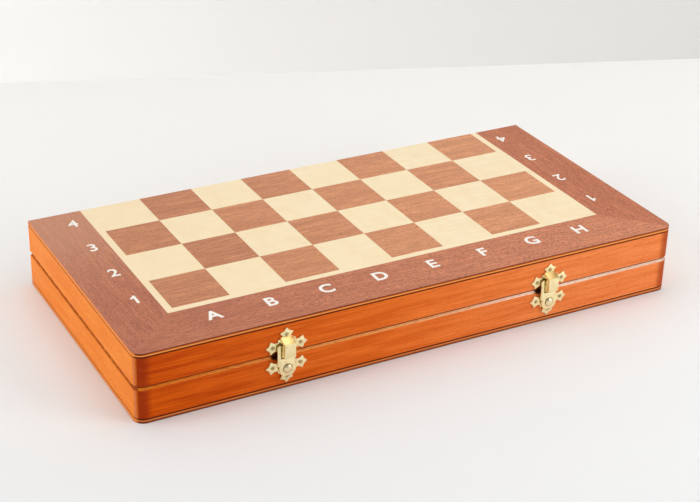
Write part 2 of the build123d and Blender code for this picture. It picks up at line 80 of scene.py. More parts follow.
# The setting: a white table, and a pale wall that stands on it a little behind the case and is
# clear from behind. The table is painted darker toward the front, a painted shade, and the wall
# glows for the camera and in reflections, brightest to the left, a painted light. The camera
# stands to the left of the clasps and looks down on the case, and the light is soft.
class Signal:
    """A number, a colour or a vector on its way through the nodes of one material."""

    def __init__(self, tree, socket=None):
        self.tree = tree
        self.socket = socket

    def node(self, kind, settings, sockets, output=0):
        """Add a node of this kind: its settings first, then the values or links it takes."""
        made = self.tree.nodes.new(kind)
        for name, value in settings.items():
            setattr(made, name, value)
        for name, value in sockets.items():
            if isinstance(value, Signal):
                self.tree.links.new(value.socket, made.inputs[name])
            else:
                made.inputs[name].default_value = value
        return Signal(self.tree, made.outputs[output])

    def maths(self, operation, first, second=0.0):
        return self.node("ShaderNodeMath", {"operation": operation}, {0: first, 1: second})

    def __add__(self, other):
        return self.maths("ADD", self, other)

    __radd__ = __add__

    def __sub__(self, other):
        return self.maths("SUBTRACT", self, other)

    def __rsub__(self, other):
        return self.maths("SUBTRACT", other, self)

    def __mul__(self, other):
        return self.maths("MULTIPLY", self, other)

    def __abs__(self):
        return self.maths("ABSOLUTE", self)

    def along(self, axis):
        """One coordinate of a place or a direction: 0 for X, 1 for Y, 2 for Z."""
        return self.node("ShaderNodeSeparateXYZ", {}, {0: self}, output=axis)

    def between(self, low, high):
        """Nothing below low, all above high, and a smooth step from one to the other."""
        return self.node("ShaderNodeMapRange", {"interpolation_type": "SMOOTHSTEP"},
                         {"Value": self, "From Min": low, "From Max": high})

    def ramp(self, low, high, at_low, at_high):
        """An even climb or fall from one number to another."""
        return self.node("ShaderNodeMapRange", {},
                         {"Value": self, "From Min": low, "From Max": high,
                          "To Min": at_low, "To Max": at_high})

    def mix(self, none, all_of_it):
        """From one colour to the other as this signal goes from 0 to 1."""
        return self.node("ShaderNodeMix", {"data_type": "RGBA"},
                         {0: self, 6: none, 7: all_of_it}, output=2)

    def to(self, name):
        """Feed a socket of the material's own shader."""
        self.tree.links.new(self.socket, self.tree.nodes["Principled BSDF"].inputs[name])


def finish(name, roughness, **constants):
    """A new material with these fixed values on its shader, and a first signal: the place on
    the object in metres."""
    material = bpy.data.materials.new(name)
    material.use_nodes = True
    shader = material.node_tree.nodes["Principled BSDF"]
    shader.inputs["Roughness"].default_value = roughness
    for socket, value in constants.items():
        shader.inputs[socket.replace("_", " ")].default_value = value
    place = Signal(material.node_tree).node("ShaderNodeTexCoord", {}, {}, output="Object")
    return material, place


CAMERA_PLACE = (-0.4923, -0.8984, 0.5576)
CAMERA_TURN = (math.radians(62.672), math.radians(-1.26), math.radians(-27.998))
CAMERA_LENS = 83.64
bpy.ops.object.select_all(action="DESELECT")
bpy.ops.object.camera_add(location=CAMERA_PLACE, rotation=CAMERA_TURN)
camera = bpy.context.object
camera.data.lens = CAMERA_LENS
bpy.context.scene.camera = camera

WALL_FOOT, WALL_TURN = (0.212, 0.375, -0.0001), math.radians(-19.2)
TABLE_SIZE, WALL_SIZE = 12.0, 6.0
TABLE_NEAR_SHADE, TABLE_FAR_LIT = (0.828, 0.832, 0.832, 1), (0.925, 0.915, 0.890, 1)
WALL_COLOUR, WALL_GLOW = (0.73, 0.73, 0.715, 1), 0.28
BLACK, WHITE = (0, 0, 0, 1), (1, 1, 1, 1)
table_paint, place = finish("white_table_paint", 0.6, Specular_IOR_Level=0.2)
# Painted shade: the table is painted darker toward the front, and lighter and warmer at the back.
place.along(1).ramp(-0.60, -0.05, 0.0, 1.0).mix(TABLE_NEAR_SHADE, TABLE_FAR_LIT).to("Base Color")
bpy.ops.mesh.primitive_plane_add(size=TABLE_SIZE)
table = bpy.context.object
table.name = "white_table"
table.location = WALL_FOOT
table.rotation_euler = (0, 0, WALL_TURN)
table.data.materials.append(table_paint)

wall_paint, place = finish("pale_wall_paint", 0.6, Specular_IOR_Level=0.2,
                           Base_Color=WALL_COLOUR, Emission_Strength=1.0)
seen = place.node("ShaderNodeLightPath", {}, {}, output="Is Camera Ray") \
    + place.node("ShaderNodeLightPath", {}, {}, output="Is Glossy Ray")
# Painted light: for the camera and in reflections the wall glows, brightest at the left and fading
# out toward the right.
(place.along(0).ramp(-0.35, 0.35, WALL_GLOW, 0.0) * seen).mix(BLACK, WHITE).to("Emission Color")
painted = Signal(place.tree, place.tree.nodes["Principled BSDF"].outputs[0])
from_behind = place.node("ShaderNodeNewGeometry", {}, {}, output="Backfacing")
clear = place.node("ShaderNodeBsdfTransparent", {}, {})
one_sided = place.node("ShaderNodeMixShader", {}, {0: from_behind, 1: painted, 2: clear})
place.tree.links.new(one_sided.socket, place.tree.nodes["Material Output"].inputs["Surface"])
bpy.ops.mesh.primitive_plane_add(size=WALL_SIZE)
wall = bpy.context.object
wall.name = "pale_wall"
wall.location = WALL_FOOT
wall.rotation_euler = (math.radians(90), 0, WALL_TURN)
wall.data.materials.append(wall_paint)

SKY_STRENGTH = 0.34
sky = bpy.data.worlds.new("studio")
bpy.context.scene.world = sky
sky.use_nodes = True
sky.node_tree.nodes["Background"].inputs["Color"].default_value = WHITE
sky.node_tree.nodes["Background"].inputs["Strength"].default_value = SKY_STRENGTH
# Each lamp's place, its size in metres, its power in watts and its colour.
LAMPS = {
    "window_left": ((-1.5, 0.25, 0.7), (1.0, 1.0), 10.0, (1.0, 0.99, 0.97)),
    "softbox_above": ((0.15, 0.15, 1.7), (1.8, 1.8), 17, (1.0, 1.0, 1.0)),
    "strip_light": ((0.72, -0.68, 0.90), (0.6, 0.1), 1.2, (1.0, 1.0, 1.0)),
    "softbox_low": ((0.75, -0.90, 0.45), (0.7, 0.5), 5.2, (1.0, 1.0, 1.0)),
}
for name, (place, size, power, colour) in LAMPS.items():
    toward_case = (-Vector(place)).to_track_quat("-Z", "Y").to_euler()
    bpy.ops.object.light_add(type="AREA", location=place, rotation=toward_case)
    lamp = bpy.context.object
    lamp.name = name
    lamp.data.shape = "RECTANGLE"
    lamp.data.size, lamp.data.size_y = size
    lamp.data.energy = power
    lamp.data.color = colour

bpy.context.scene.view_settings.view_transform = "Standard"


# The squares of the board: sawn-cut veneers laid in a checker, pale maple and reddish
# mahogany, each square from another part of the leaf, under one coat of satin lacquer.
ALONG_X, ALONG_Y = 0, 1


def fibres(place, along, length, width, seed=0.0, detail=2.0):
    """Noise drawn out along the grain, with specks this long and this wide in metres."""
    scale = [1 / width, 1 / width, 1 / width]
    scale[along] = 1 / length
    stretched = place.node("ShaderNodeMapping", {},
                           {"Vector": place, "Scale": scale, "Location": (seed, seed, seed)})
    return place.node("ShaderNodeTexNoise", {},
                      {"Vector": stretched, "Scale": 1.0, "Detail": detail, "Roughness": 0.55})


def relief(height, depth):
    """Raise and sink the surface by a signal, this deep in metres."""
    height.node("ShaderNodeBump", {}, {"Height": height, "Distance": depth}).to("Normal")


field_low, field_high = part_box("upper_light_squares")
SQUARE = (field_high.x - field_low.x) / 8


def square_number(place):
    """A different number from 0 to 1 for each square of the board."""
    cell = place.node("ShaderNodeVectorMath", {"operation": "SUBTRACT"},
                      {0: place, 1: (field_low.x, field_low.y, 0)})
    cell = cell.node("ShaderNodeVectorMath", {"operation": "SNAP"},
                     {0: cell, 1: (SQUARE, SQUARE, field_low.z / 2)})
    return cell.node("ShaderNodeTexWhiteNoise", {"noise_dimensions": "3D"}, {"Vector": cell})


PORE, BACK_LEFT_PALE = (0.230, 0.055, 0.030, 1), (0.640, 0.330, 0.195, 1)
FRONT_EDGE, SIDE_EDGE = (0.160, 0.028, 0.006, 1), (0.620, 0.180, 0.060, 1)


def mahogany(name, along, pale, deep, right, flecks, by_square):
    """Mahogany veneer: reddish brown with fine darker streaks, and short dark pores on the
    grain. It shades toward another colour at the right, and a strip of it pales at the back
    left. Its cut edge is stained dark in front and orange at the sides."""
    material, place = finish(name, 0.45, Specular_IOR_Level=0.3, Coat_Weight=0.05,
                             Coat_Roughness=0.25)
    to_right = place.along(0).between(-0.24, 0.24)
    to_back = place.along(1).between(-0.04, 0.09)
    facing = place.node("ShaderNodeNewGeometry", {}, {}, output="Normal")
    if by_square:
        number = square_number(place)
        place = place.node("ShaderNodeVectorMath", {"operation": "ADD"}, {0: place, 1: number})
    streaks = fibres(place, along, 0.016, 0.0008, seed=3.1, detail=3.0)
    ribbon = fibres(place, along, 0.120, 0.0090, seed=7.7)
    pores = fibres(place, along, 0.0022, 0.00034, seed=1.3, detail=1.0).between(0.50, 0.68)
    wood = (streaks.between(0.32, 0.70) * (0.45 + to_right * 0.55)).mix(deep, pale)
    wood = (ribbon.between(0.46, 0.64) * (0.55 if by_square else 0.35)).mix(wood, deep)
    wood = (to_right * 0.45).mix(wood, right)
    if by_square:
        wood = (number * 0.20 + 0.08).mix(wood, pale)
    wood = (pores * flecks).mix(wood, PORE)
    if not by_square:
        wood = ((1 - to_right) * to_back * 0.45).mix(wood, BACK_LEFT_PALE)
    edge = abs(facing.along(0)).between(0.7, 0.9).mix(FRONT_EDGE, SIDE_EDGE)
    wood = abs(facing.along(2)).between(0.3, 0.7).mix(edge, wood)
    wood.to("Base Color")
    relief(1 - pores, 0.00004)
    return material


MAPLE_DEEP, MAPLE_PALE = (0.890, 0.720, 0.450, 1), (0.945, 0.800, 0.550, 1)
MAPLE_FLAME, MAPLE_WARM = (0.870, 0.675, 0.400, 1), (0.920, 0.760, 0.480, 1)
MAPLE_LEFT = (0.855, 0.670, 0.410, 1)


def maple(name, along):
    """Maple veneer: cream, almost plain, with a faint flame across fine straight fibres. It
    darkens a little toward the left."""
    material, place = finish(name, 0.42, Coat_Weight=0.12, Coat_Roughness=0.25)
    number = square_number(place)
    leaf = place.node("ShaderNodeVectorMath", {"operation": "ADD"}, {0: place, 1: number})
    fine = fibres(leaf, along, 0.050, 0.0010, seed=5.2)
    flame = fibres(leaf, 1 - along, 0.020, 0.0110, seed=9.4)
    wood = fine.between(0.30, 0.75).mix(MAPLE_DEEP, MAPLE_PALE)
    wood = (flame.between(0.45, 0.65) * 0.5).mix(wood, MAPLE_FLAME)
    wood = (number * 0.35).mix(wood, MAPLE_WARM)
    wood = ((1 - place.along(0).between(-0.26, 0.05)) * 0.7).mix(wood, MAPLE_LEFT)
    wood.to("Base Color")
    relief(fine, 0.00001)
    return material


SQUARE_PALE, SQUARE_DEEP = (0.860, 0.385, 0.175, 1), (0.345, 0.105, 0.045, 1)
mahogany_squares = mahogany("mahogany_squares", ALONG_X, SQUARE_PALE, SQUARE_DEEP, SQUARE_PALE,
                            flecks=0.50, by_square=True)
maple_squares = maple("maple_squares", ALONG_X)
for half in ("lower", "upper"):
    frame["nodes"][half + "_dark_squares"].data.materials[0] = mahogany_squares
    frame["nodes"][half + "_light_squares"].data.materials[0] = maple_squares
    frame["nodes"][half + "_stringing"].data.materials[0] = maple_squares


# The border: strips of the same dark veneer, glued on round the squares and mitred at the
# corners, with the grain along each.
BORDER_PALE, BORDER_DEEP = (0.765, 0.284, 0.133, 1), (0.400, 0.118, 0.056, 1)
BORDER_RIGHT = (0.530, 0.135, 0.042, 1)
border_along_x = mahogany("mahogany_border_front", ALONG_X, BORDER_PALE, BORDER_DEEP, BORDER_PALE,
                          flecks=0.95, by_square=False)
border_along_y = mahogany("mahogany_border_side", ALONG_Y, BORDER_PALE, BORDER_DEEP, BORDER_RIGHT,
                          flecks=0.95, by_square=False)
for half in ("lower", "upper"):
    frame["nodes"][half + "_front_border"].data.materials[0] = border_along_x
    frame["nodes"][half + "_left_border"].data.materials[0] = border_along_y
    frame["nodes"][half + "_right_border"].data.materials[0] = border_along_y


# The coordinates: letters and figures in thick white paint, printed on the border. Those of
# one half continue those of the other when the case lies open as a whole board.
FIGURE_HEIGHT = 0.0100
FONT_CAPITAL = 0.682
LETTER_WEIGHT, FIGURE_WEIGHT = 0.027, 0.015
PAINT_THICKNESS = 0.00003
LETTER_LINE = 0.497 * SQUARE
LEFT_FIGURE_LINE = 0.41 * SQUARE
RIGHT_FIGURE_LINE = 0.43 * SQUARE
FLAG_SIZE, FLAG_ASIDE, FLAG_UP = (0.0036, 0.0017, 1.9 * PAINT_THICKNESS), 0.0015, 0.0033
FLAG_SLANT = math.radians(38)
WORN_PAINT, WHITE_PAINT = (0.780, 0.690, 0.610, 1), (0.905, 0.865, 0.800, 1)

white_paint, place = finish("white_print", 0.5)
wear = place.node("ShaderNodeTexNoise", {}, {"Vector": place, "Scale": 1500.0, "Detail": 2.0})
wear.between(0.25, 0.45).mix(WORN_PAINT, WHITE_PAINT).to("Base Color")
relief(wear, 0.00001)

for half, ranks, height, turned_over in (("upper", "1234", field_high.z, 0.0),
                                         ("lower", "8765", 0.0, math.pi)):
    labels = []
    for file, letter in enumerate("ABCDEFGH"):
        labels.append((letter, field_low.x + (file + 0.5) * SQUARE,
                       field_low.y - LETTER_LINE, turned_over))
    for row, figure in enumerate(ranks):
        line = field_low.y + (row + 0.5) * SQUARE
        labels.append((figure, field_low.x - LEFT_FIGURE_LINE, line, 0.0))
        labels.append((figure, field_high.x + RIGHT_FIGURE_LINE, line, math.pi))
    printed = []
    for text, x, y, turn in labels:
        bpy.ops.object.select_all(action="DESELECT")
        bpy.ops.object.text_add(location=(x, y, height), rotation=(turned_over, 0, turn))
        label = bpy.context.object
        label.data.body = text
        label.data.align_x, label.data.align_y = "CENTER", "CENTER"
        label.data.size = FIGURE_HEIGHT / FONT_CAPITAL
        label.data.offset = label.data.size * (LETTER_WEIGHT if text.isalpha() else FIGURE_WEIGHT)
        label.data.extrude = PAINT_THICKNESS
        label.data.resolution_u = 6
        bpy.ops.object.convert(target="MESH")
        printed.append(bpy.context.object)
        if text == "1":
            upright = math.cos(turn)
            bpy.ops.mesh.primitive_cube_add(
                size=1, location=(x - FLAG_ASIDE * upright, y + FLAG_UP * upright, height),
                rotation=(0, 0, turn + FLAG_SLANT), scale=FLAG_SIZE)
            printed.append(bpy.context.object)
    for label in printed:
        label.select_set(True)
    bpy.ops.object.join()
    bpy.ops.object.transform_apply(location=True, rotation=True, scale=True)
    prints = bpy.context.object
    prints.name = half + "_coordinates"
    prints.data.materials.clear()
    prints.data.materials.append(white_paint)
    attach(prints, half + "_case")


# The panels and rails: solid wood stained orange under a gloss lacquer. The stain gathers dark
# along the joints and veneers. The long rails are painted lighter toward the right, as painted
# light. The round front corners carry painted shade, with a painted highlight line where they
# turn. Where the rims meet, the lower long rims carry a painted highlight, and the upper rims and
# the short rails' rims carry painted shade.
PANEL_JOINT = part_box("lower_core_panel")[1].z
SEAM = (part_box("lower_front_rail")[1].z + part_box("upper_front_rail")[0].z) / 2
CORE_LINE, CORE_LINE_WIDTH = 0.00180, 0.00090
RIM_WIDTH = 0.0015
CORNER_RADIUS = 0.0070
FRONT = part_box("lower_front_rail")[0].y
CORNER_X, CORNER_Y = cad_box[1].x - CORNER_RADIUS, FRONT + CORNER_RADIUS
CLASP_X = [sum(corner.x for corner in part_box(side + "_keeper_plate")) / 2
           for side in ("left", "right")]
# The dark joint stain and the painted shadow beside each hook fade out between these distances
# from their middles.
STAIN_EDGE, HOOK_SHADOW_EDGE, HOOK_SHADOW_ASIDE = (0.00020, 0.00060), (0.0020, 0.0040), 0.0078
# The colour of the fine pores, the painted shade on the round corners, and the painted highlight
# line where they turn.
FIBRE, CORNER_SHADE, CORNER_HIGHLIGHT = ((0.350, 0.045, 0.002, 1), (0.330, 0.026, 0.002, 1),
                                    (0.560, 0.180, 0.120, 1))
# The dark joint stain, and the painted shadow on the rims beside each hook.
JOINT_STAIN, HOOK_SHADOW = (0.100, 0.016, 0.003, 1), (0.030, 0.006, 0.002, 1)
# The colour of the level rim faces, and the painted shade on the upper rim.
LEVEL_RIM, UPPER_RIM_SHADE = (0.680, 0.240, 0.075, 1), (0.220, 0.030, 0.003, 1)


def orange_lacquer(name, along, stains_and_light, rims):
    """Stained wood under clear lacquer: soft streaks, short fine pores and broad clouds. The stain
    colours, each a deep and a pale one, and the rims' colours are for the left, the middle and the
    right of the case; where they grow lighter toward the right, that is painted light. The rims'
    colours, which show on the lower rims, are painted light too: a highlight on the long rails and
    shade on the short ones. The upper rims are painted in shade, and beside each hook a painted
    shadow darkens the rims."""
    material, place = finish(name, 0.40, Specular_IOR_Level=0.04, Coat_Roughness=0.12)
    streaks = fibres(place, along, 0.032, 0.0012, seed=2.2, detail=3.0)
    clouds = fibres(place, along, 0.060, 0.0060, seed=6.1)
    fine = fibres(place, along, 0.0040, 0.00040, seed=4.8)
    grain = streaks.between(0.28, 0.72) * 0.6 + clouds.between(0.36, 0.64) * 0.4
    to_middle, to_right = place.along(0).between(-0.21, 0.0), place.along(0).between(-0.05, 0.145)
    left, middle, right = (grain.mix(deep, pale) for deep, pale in stains_and_light)
    # Painted light: the colours grow lighter toward the right.
    wood = to_right.mix(to_middle.mix(left, middle), right)
    wood = (fine.between(0.52, 0.70) * 0.3).mix(wood, FIBRE)
    facing = place.node("ShaderNodeNewGeometry", {}, {}, output="Normal")
    beyond_x = abs(place.along(0)) - CORNER_X
    beyond_y = CORNER_Y - place.along(1)
    sideways = abs(facing.along(0))
    end_face = sideways.between(0.72, 0.92)
    corner = beyond_x.between(-0.0045, 0.0015) * beyond_y.between(0.0, 0.001) * (1 - end_face)
    # Painted shade on the round front corners.
    wood = (corner * 0.75).mix(wood, CORNER_SHADE)
    # A painted highlight line where each corner turns from the end face to the front.
    highlight_line = beyond_y.between(0.0, 0.001) * (1 - abs(sideways - 0.90).between(0.02, 0.07))
    wood = (highlight_line * 0.6).mix(wood, CORNER_HIGHLIGHT)
    above_seam = place.along(2) - SEAM
    from_seam = abs(above_seam)
    from_joint = abs(from_seam - (SEAM - PANEL_JOINT))
    stain = (1 - from_joint.between(*STAIN_EDGE)) * (1 - end_face * 0.96)
    wood = stain.mix(wood, JOINT_STAIN)
    rim_speckle = fibres(place, along, 0.0040, 0.0008, seed=8.8).between(0.25, 0.60)
    rim = 1 - from_seam.between(RIM_WIDTH - 0.0002, RIM_WIDTH + 0.0002)
    # Painted light on the lower rims: a highlight on the long rails and shade on the short ones,
    # speckled.
    bare = to_right.mix(to_middle.mix(rims[0], rims[1]), rims[2])
    level = abs(facing.along(2)).between(0.80, 0.95)
    wood = (rim * (rim_speckle * 0.7 + 0.3)).mix(wood, level.mix(bare, LEVEL_RIM))
    # Painted shade on the upper half's rim, whose chamfer faces down.
    under = rim * above_seam.between(-0.0001, 0.0001) * (1 - level)
    wood = under.mix(wood, UPPER_RIM_SHADE)
    # A painted shadow on the rims beside each hook.
    for clasp_x in CLASP_X:
        beside = place.node("ShaderNodeVectorMath", {"operation": "SUBTRACT"},
                            {0: place, 1: (clasp_x - HOOK_SHADOW_ASIDE, FRONT, SEAM)})
        beside = beside.node("ShaderNodeVectorMath", {"operation": "LENGTH"}, {0: beside},
                             output="Value")
        shadow_spot = (1 - beside.between(*HOOK_SHADOW_EDGE)) * (1 - level)
        wood = shadow_spot.mix(wood, HOOK_SHADOW)
    wood.to("Base Color")
    (rim * to_right * (1 - level) * 0.6 + 0.03).to("Coat Weight")
    relief(fine + rim * rim_speckle * 0.5, 0.00002)
    return material, from_seam, wood


# The long rails and the panel edges are painted lighter toward the right, a painted light.
LONG_STAINS_LIT_RIGHT = [((0.500, 0.045, 0.000, 1), (0.780, 0.125, 0.002, 1)),
               ((0.700, 0.110, 0.006, 1), (0.930, 0.212, 0.028, 1)),
               ((0.790, 0.180, 0.040, 1), (0.960, 0.290, 0.086, 1))]
# Painted highlight along the lower long rims: orange at the left, cream at the right.
LONG_RIM_HIGHLIGHTS = [(0.920, 0.260, 0.025, 1), (0.990, 0.450, 0.140, 1), (0.990, 0.780, 0.600, 1)]
SHORT_STAINS = [((0.890, 0.212, 0.012, 1), (0.970, 0.305, 0.040, 1))] * 3
EDGE_STAINS_LIT_RIGHT = [((0.360, 0.060, 0.006, 1), (0.460, 0.085, 0.010, 1))] * 2 \
    + [((0.400, 0.080, 0.012, 1), (0.500, 0.110, 0.020, 1))]
# Painted shade along the rims of the short rails.
SHADED_RIMS = [(0.420, 0.075, 0.006, 1)] * 3
LOWER_LINE, UPPER_LINE = (0.700, 0.240, 0.070, 1), (0.930, 0.340, 0.080, 1)
SIDE_STAIN = (0.930, 0.280, 0.040, 1)
rail_along_x = orange_lacquer("rail_lacquer_long", ALONG_X, LONG_STAINS_LIT_RIGHT, LONG_RIM_HIGHLIGHTS)[0]
rail_along_y = orange_lacquer("rail_lacquer_short", ALONG_Y, SHORT_STAINS, SHADED_RIMS)[0]

# The edge of each panel shows as a dark band with a pale line of bare core along it.
core, from_seam, wood = orange_lacquer("panel_edge_lacquer", ALONG_X, EDGE_STAINS_LIT_RIGHT, SHADED_RIMS)
line_colour = from_seam.node("ShaderNodeTexCoord", {}, {}, output="Object").along(2) \
    .between(SEAM - 0.001, SEAM + 0.001).mix(LOWER_LINE, UPPER_LINE)
pale_line = abs(from_seam - (SEAM - CORE_LINE)).between(CORE_LINE_WIDTH / 2 - 0.0001,
                                                        CORE_LINE_WIDTH / 2 + 0.0001)
wood = pale_line.mix(line_colour, wood)
facing = wood.node("ShaderNodeNewGeometry", {}, {}, output="Normal")
sideways = abs(facing.along(0)).between(0.72, 0.92)
(sideways * 0.85).mix(wood, SIDE_STAIN).to("Base Color")
for half in ("lower", "upper"):
    frame["nodes"][half + "_core_panel"].data.materials[0] = core
    for side, lacquer in (("front", rail_along_x), ("fold", rail_along_x),
                          ("left", rail_along_y), ("right", rail_along_y)):
        frame["nodes"][f"{half}_{side}_rail"].data.materials[0] = lacquer


# The clasp plates and hooks: stamped from thin brass-plated sheet, so that every edge is a
# little rounded. Their upward faces are painted a deeper gold, a painted reflection, and a ring
# of painted shade sits round each nail head and each rivet.
EASED_EDGE = 0.00012


def eased_copy(node, name, material, width, has_pockets=False):
    """A piece in place of a CAD node, with its edges a little rounded. Faces that surround
    pockets stay in triangles."""
    bpy.ops.object.select_all(action="DESELECT")
    piece = frame["nodes"][node].copy()
    piece.data = piece.data.copy()
    piece.parent = None
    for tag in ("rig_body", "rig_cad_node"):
        del piece[tag]
    piece.name = name
    bpy.context.collection.objects.link(piece)
    piece.select_set(True)
    bpy.context.view_layer.objects.active = piece
    bpy.ops.mesh.customdata_custom_splitnormals_clear()
    bpy.ops.object.mode_set(mode="EDIT")
    bpy.ops.mesh.select_all(action="SELECT")
    bpy.ops.mesh.remove_doubles(threshold=0.000001)
    if not has_pockets:
        bpy.ops.mesh.dissolve_limited(angle_limit=math.radians(1))
    bpy.ops.mesh.normals_make_consistent(inside=False)
    bpy.ops.object.mode_set(mode="OBJECT")
    rounding = piece.modifiers.new("rounding", "BEVEL")
    rounding.width = width
    rounding.segments = 2
    rounding.limit_method = "ANGLE"
    rounding.angle_limit = math.radians(25)
    bpy.ops.object.modifier_apply(modifier="rounding")
    bpy.ops.object.shade_smooth_by_angle(angle=math.radians(40))
    piece.data.materials.clear()
    piece.data.materials.append(material)
    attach(piece, frame["nodes"][node]["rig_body"])
    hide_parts(node)
    return piece


def pale_brass(name, roughness, base, dull):
    """Brass-plated steel: pale yellow, with a cloudy tarnish that also dulls its shine."""
    material, place = finish(name, roughness, Metallic=1.0)
    clouds = place.node("ShaderNodeTexNoise", {},
                        {"Vector": place, "Scale": 260.0, "Detail": 3.0})
    metal = (clouds.between(0.40, 0.75) * 0.6).mix(base, dull)
    metal.to("Base Color")
    (clouds * 0.16 + (roughness - 0.06)).to("Roughness")
    return material, place, metal


CLASP_Z = (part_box("left_keeper_plate")[1].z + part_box("left_base_plate")[0].z) / 2
NAIL_ASIDE, NAIL_UP, END_NAIL_UP = 0.0098, 0.0074, 0.0153
PIVOT_Z = sum(corner.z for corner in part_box("hook_rivets")) / 2
# A painted reflection for the upward faces, and the colour of the painted shade round nails and
# rivets.
HOOD_TOP_REFLECTION, RING_SHADE = (0.800, 0.520, 0.170, 1), (0.120, 0.070, 0.022, 1)
# The painted shade round a nail or a rivet fades out between these distances from its middle.
NAIL_SHADE_EDGE, RIVET_SHADE_EDGE = (0.0011, 0.0017), (0.0030, 0.0037)
brass_sheet, place, metal = pale_brass("clasp_brass", 0.32, (0.985, 0.870, 0.500, 1),
                                       (0.850, 0.690, 0.335, 1))
# Painted reflection: faces that look up are painted a deeper gold.
facing_up = place.node("ShaderNodeNewGeometry", {}, {}, output="Normal").along(2)
metal = (facing_up.between(0.30, 0.60) * 0.8).mix(metal, HOOD_TOP_REFLECTION)
aside = abs(abs(place.along(0) - sum(CLASP_X) / 2) - (CLASP_X[1] - CLASP_X[0]) / 2)
up = abs(place.along(2) - CLASP_Z)
# Painted shade: a dark ring round each nail head.
for nail_aside, nail_up in ((NAIL_ASIDE, NAIL_UP), (0.0, END_NAIL_UP)):
    away = place.node("ShaderNodeCombineXYZ", {}, {0: aside - nail_aside, 1: up - nail_up, 2: 0.0})
    away = away.node("ShaderNodeVectorMath", {"operation": "LENGTH"}, {0: away}, output="Value")
    metal = ((1 - away.between(*NAIL_SHADE_EDGE)) * 0.55).mix(metal, RING_SHADE)
# Painted shade: a dark ring round each rivet.
away = place.node("ShaderNodeCombineXYZ", {}, {0: aside, 1: place.along(2) - PIVOT_Z, 2: 0.0})
away = away.node("ShaderNodeVectorMath", {"operation": "LENGTH"}, {0: away}, output="Value")
metal = ((1 - away.between(*RIVET_SHADE_EDGE)) * 0.85).mix(metal, RING_SHADE)
metal.to("Base Color")
for side in ("left", "right"):
    for kind in ("keeper_plate", "base_plate"):
        plate = eased_copy(f"{side}_{kind}", f"{side}_{kind}_brass", brass_sheet, EASED_EDGE)
    hook = eased_copy(f"{side}_hook", f"{side}_hook_brass", brass_sheet, 2 * EASED_EDGE)


# The rivets that the hooks turn on, and the nails that hold the plates: small turned or headed
# brass pieces. A collar on each rivet lifts its hook clear of the nail heads.
SMOOTH_BELOW = math.radians(32)


def line_through(name, points):
    """A bare line from point to point, made by pushing out a single vertex."""
    bpy.ops.object.select_all(action="DESELECT")
    bpy.ops.mesh.primitive_plane_add(size=0.001, location=points[0])
    line = bpy.context.object
    line.name = name
    bpy.ops.object.mode_set(mode="EDIT")
    bpy.ops.mesh.select_mode(type="VERT")
    bpy.ops.mesh.select_all(action="SELECT")
    bpy.ops.mesh.merge(type="CENTER")
    for here, there in zip(points, points[1:]):
        step = [b - a for a, b in zip(here, there)]
        bpy.ops.mesh.extrude_region_move(TRANSFORM_OT_translate={"value": step})
    bpy.ops.object.mode_set(mode="OBJECT")
    bpy.ops.object.transform_apply(location=True)
    return line


def turned(name, outline, steps):
    """A round piece from the radii and heights, in millimetres, of its outline going up. Its
    axis stands on the origin."""
    outline = [(0, outline[0][1])] + outline + [(0, outline[-1][1])]
    piece = line_through(name, [(0.001 * radius, 0, 0.001 * height) for radius, height in outline])
    bpy.ops.object.mode_set(mode="EDIT")
    bpy.ops.mesh.select_all(action="SELECT")
    bpy.ops.mesh.spin(steps=steps, angle=2 * math.pi, center=(0, 0, 0), axis=(0, 0, 1))
    bpy.ops.mesh.select_all(action="SELECT")
    bpy.ops.mesh.remove_doubles(threshold=0.000002)
    bpy.ops.mesh.normals_make_consistent(inside=False)
    bpy.ops.object.mode_set(mode="OBJECT")
    bpy.ops.object.shade_smooth_by_angle(angle=SMOOTH_BELOW)
    return piece


def placed_copy(original, name, place, turn):
    """A copy with a mesh of its own, turned about X and put in its place."""
    bpy.ops.object.select_all(action="DESELECT")
    piece = original.copy()
    piece.data = original.data.copy()
    piece.name = name
    bpy.context.collection.objects.link(piece)
    piece.location = place
    piece.rotation_euler = (turn, 0, 0)
    piece.select_set(True)
    bpy.context.view_layer.objects.active = piece
    bpy.ops.object.transform_apply(location=True, rotation=True, scale=True)
    return piece


def joined(pieces, name, material, node):
    """Several like pieces as one, in place of the CAD node that groups them."""
    bpy.ops.object.select_all(action="DESELECT")
    for piece in pieces:
        piece.select_set(True)
    bpy.context.view_layer.objects.active = pieces[0]
    bpy.ops.object.join()
    pieces[0].name = name
    pieces[0].data.materials.clear()
    pieces[0].data.materials.append(material)
    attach(pieces[0], frame["nodes"][node]["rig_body"])
    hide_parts(node)
    return pieces[0]


OUT_OF_FRONT = math.radians(90)
RIVET_OUTLINE = [(1.3, 0), (1.3, 0.8), (2.7, 0.8), (2.8, 0.9), (2.8, 1.25), (2.7, 1.3), (1.4, 1.3),
                 (1.4, 2.7), (2.8, 2.7), (2.98, 2.82), (2.94, 3.05), (2.72, 3.32), (2.32, 3.58),
                 (1.78, 3.80), (1.15, 3.94), (0.55, 3.99)]
NAIL_OUTLINE = [(0.2, -7.1), (0.55, -6.2), (0.55, 0.8), (1.05, 0.8), (1.1, 0.86), (1.02, 0.98),
                (0.80, 1.10), (0.50, 1.17)]
bright_brass = pale_brass("rivet_brass", 0.20, (0.950, 0.820, 0.500, 1),
                          (0.800, 0.640, 0.330, 1))[0]
nail_brass = pale_brass("nail_brass", 0.30, (0.480, 0.360, 0.170, 1),
                        (0.290, 0.205, 0.090, 1))[0]
rivet = turned("rivet", RIVET_OUTLINE, steps=40)
nail = turned("nail", NAIL_OUTLINE, steps=20)
rivets = [placed_copy(rivet, "rivet", (x, FRONT, PIVOT_Z), OUT_OF_FRONT)
          for x in CLASP_X]
joined(rivets, "hook_rivets_turned", bright_brass, "hook_rivets")
